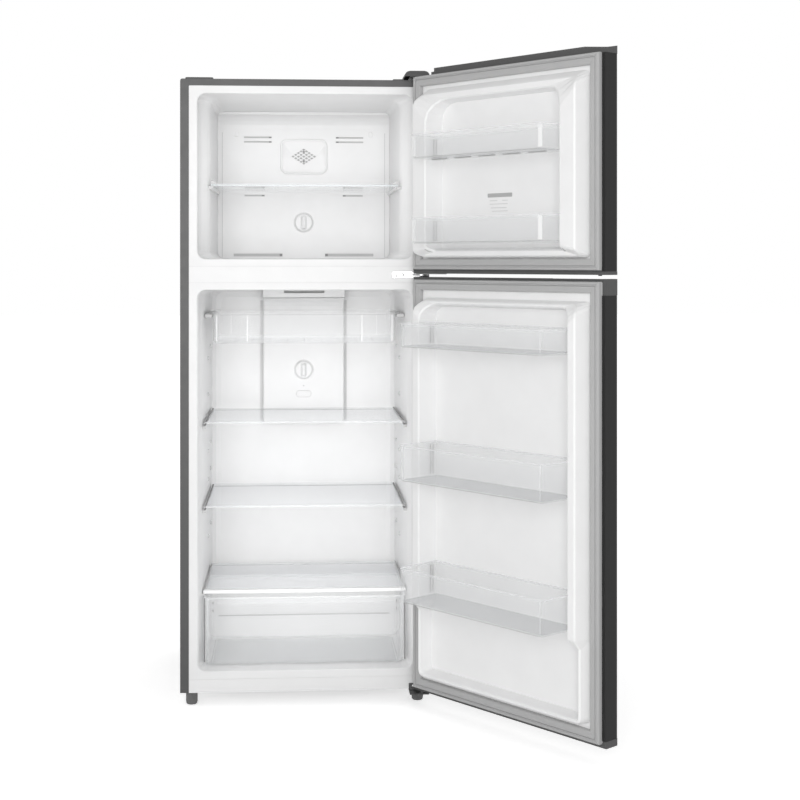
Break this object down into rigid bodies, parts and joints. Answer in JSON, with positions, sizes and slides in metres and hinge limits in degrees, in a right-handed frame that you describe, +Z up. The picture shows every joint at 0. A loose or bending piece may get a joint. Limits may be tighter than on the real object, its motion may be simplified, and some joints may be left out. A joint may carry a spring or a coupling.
{
  "type": "top freezer refrigerator",
  "caption": "Two-door top freezer refrigerator with doors standing open, glass shelves, a crisper drawer, a chiller tray and door bins.",
  "frame": {"origin": "centre of the underside of the front left levelling foot, on the floor", "axes": "+X across to the hinge side of the cabinet, +Y from the front into the cabinet, +Z up"},
  "size_m": [1.118, 1.2295, 1.785],
  "materials": {
    "painted_grey_steel": "satin grey paint",
    "dark_door_skin": "dark brushed-look coated sheet",
    "dark_grey_plastic": "fine grained",
    "white_liner": "thermoformed, semi gloss",
    "white_plastic": "moulded, satin",
    "white_painted_steel": "white paint",
    "clear_plastic": "transparent moulding",
    "tempered_glass": "clear toughened glass, ground edges",
    "grey_gasket": "soft vinyl",
    "insulation_foam": "rigid polyurethane foam",
    "zinc_plated_steel": "zinc plated",
    "black_compressor_steel": "black enamel",
    "finned_aluminium": "mill finish",
    "foot_plastic": "moulded"
  },
  "bodies": {
    "cabinet": {"outer_wrapper": "painted_grey_steel", "rear_panel": "painted_grey_steel", "base_pan": "white_painted_steel", "divider_rail": "white_painted_steel", "freezer_liner": "white_liner", "fridge_liner": "white_liner", "cabinet_foam": "insulation_foam", "bay_lining": "zinc_plated_steel", "compressor_plate": "zinc_plated_steel", "compressor": "black_compressor_steel", "drain_pan": "dark_grey_plastic", "bay_cover": "painted_grey_steel", "cord_gland": "foot_plastic", "freezer_back_cover": "white_plastic", "fan_grille": "white_plastic", "evaporator": "finned_aluminium", "fan_motor": "dark_grey_plastic", "freezer_shelf_glass": "tempered_glass", "duct_cover": "white_plastic", "lamp_housing": "white_plastic", "upper_shelf_frame": "white_plastic", "upper_shelf_glass": "tempered_glass", "lower_shelf_frame": "white_plastic", "lower_shelf_glass": "tempered_glass", "crisper_cover_frame": "white_plastic", "crisper_cover_glass": "tempered_glass", "left_tray_rail": "white_plastic", "right_tray_rail": "white_plastic", "top_hinge": "zinc_plated_steel", "hinge_cover": "dark_grey_plastic", "corner_cap": "dark_grey_plastic", "middle_hinge": "zinc_plated_steel", "bottom_hinge": "zinc_plated_steel"},
    "freezer_door": {"freezer_door_skin": "dark_door_skin", "freezer_door_foam": "insulation_foam", "freezer_door_liner": "white_liner", "freezer_door_gasket": "grey_gasket", "freezer_door_top_cap": "dark_grey_plastic", "freezer_door_bottom_cap": "dark_grey_plastic", "freezer_door_bin_upper": "clear_plastic", "freezer_door_bin_lower": "clear_plastic"},
    "fridge_door": {"fridge_door_skin": "dark_door_skin", "fridge_door_foam": "insulation_foam", "fridge_door_liner": "white_liner", "fridge_door_gasket": "grey_gasket", "fridge_door_top_cap": "dark_grey_plastic", "fridge_door_bottom_cap": "dark_grey_plastic", "fridge_door_bin_top": "clear_plastic", "fridge_door_bin_middle": "clear_plastic", "fridge_door_bin_bottom": "clear_plastic"},
    "crisper_drawer": {"crisper": "clear_plastic"},
    "chiller_drawer": {"chiller_tray": "clear_plastic"},
    "freezer_dial": {"freezer_knob": "white_plastic"},
    "fridge_dial": {"fridge_knob": "white_plastic"},
    "fan": {"fan_blade": "white_plastic"},
    "left_levelling_foot": {"left_foot": "foot_plastic"},
    "right_levelling_foot": {"right_foot": "foot_plastic"},
    "left_rear_roller": {"left_roller": "foot_plastic"},
    "right_rear_roller": {"right_roller": "foot_plastic"}
  },
  "joints": [
    {"name": "freezer_door_hinge", "type": "hinge", "parent": "cabinet", "child": "freezer_door", "pos_m": [0.6474, -0.074, 1.5], "axis": [0, 0, 1], "range_deg": [-128.4, 2]},
    {"name": "fridge_door_hinge", "type": "hinge", "parent": "cabinet", "child": "fridge_door", "pos_m": [0.6474, -0.074, 0.63], "axis": [0, 0, 1], "range_deg": [-128.4, 2]},
    {"name": "crisper_slide", "type": "slide", "parent": "cabinet", "child": "crisper_drawer", "axis": [0, -1, 0], "range_m": [0, 0.25]},
    {"name": "chiller_tray_slide", "type": "slide", "parent": "cabinet", "child": "chiller_drawer", "axis": [0, -1, 0], "range_m": [0, 0.2]},
    {"name": "freezer_dial_turn", "type": "hinge", "parent": "cabinet", "child": "freezer_dial", "pos_m": [0.32, 0.443, 1.372], "axis": [0, -1, 0], "range_deg": [-135, 135]},
    {"name": "fridge_dial_turn", "type": "hinge", "parent": "cabinet", "child": "fridge_dial", "pos_m": [0.32, 0.47, 0.907], "axis": [0, -1, 0], "range_deg": [-135, 135]},
    {"name": "fan_spin", "type": "hinge", "parent": "cabinet", "child": "fan", "pos_m": [0.32, 0.468, 1.58], "axis": [0, -1, 0], "continuous": true},
    {"name": "left_foot_turn", "type": "hinge", "parent": "cabinet", "child": "left_levelling_foot", "pos_m": [0, 0, 0.02], "axis": [0, 0, 1], "continuous": true},
    {"name": "right_foot_turn", "type": "hinge", "parent": "cabinet", "child": "right_levelling_foot", "pos_m": [0.64, 0, 0.02], "axis": [0, 0, 1], "continuous": true},
    {"name": "left_roller_spin", "type": "hinge", "parent": "cabinet", "child": "left_rear_roller", "pos_m": [0.02, 0.518, 0.018], "axis": [1, 0, 0], "continuous": true},
    {"name": "right_roller_spin", "type": "hinge", "parent": "cabinet", "child": "right_rear_roller", "pos_m": [0.62, 0.518, 0.018], "axis": [1, 0, 0], "continuous": true}
  ]
}
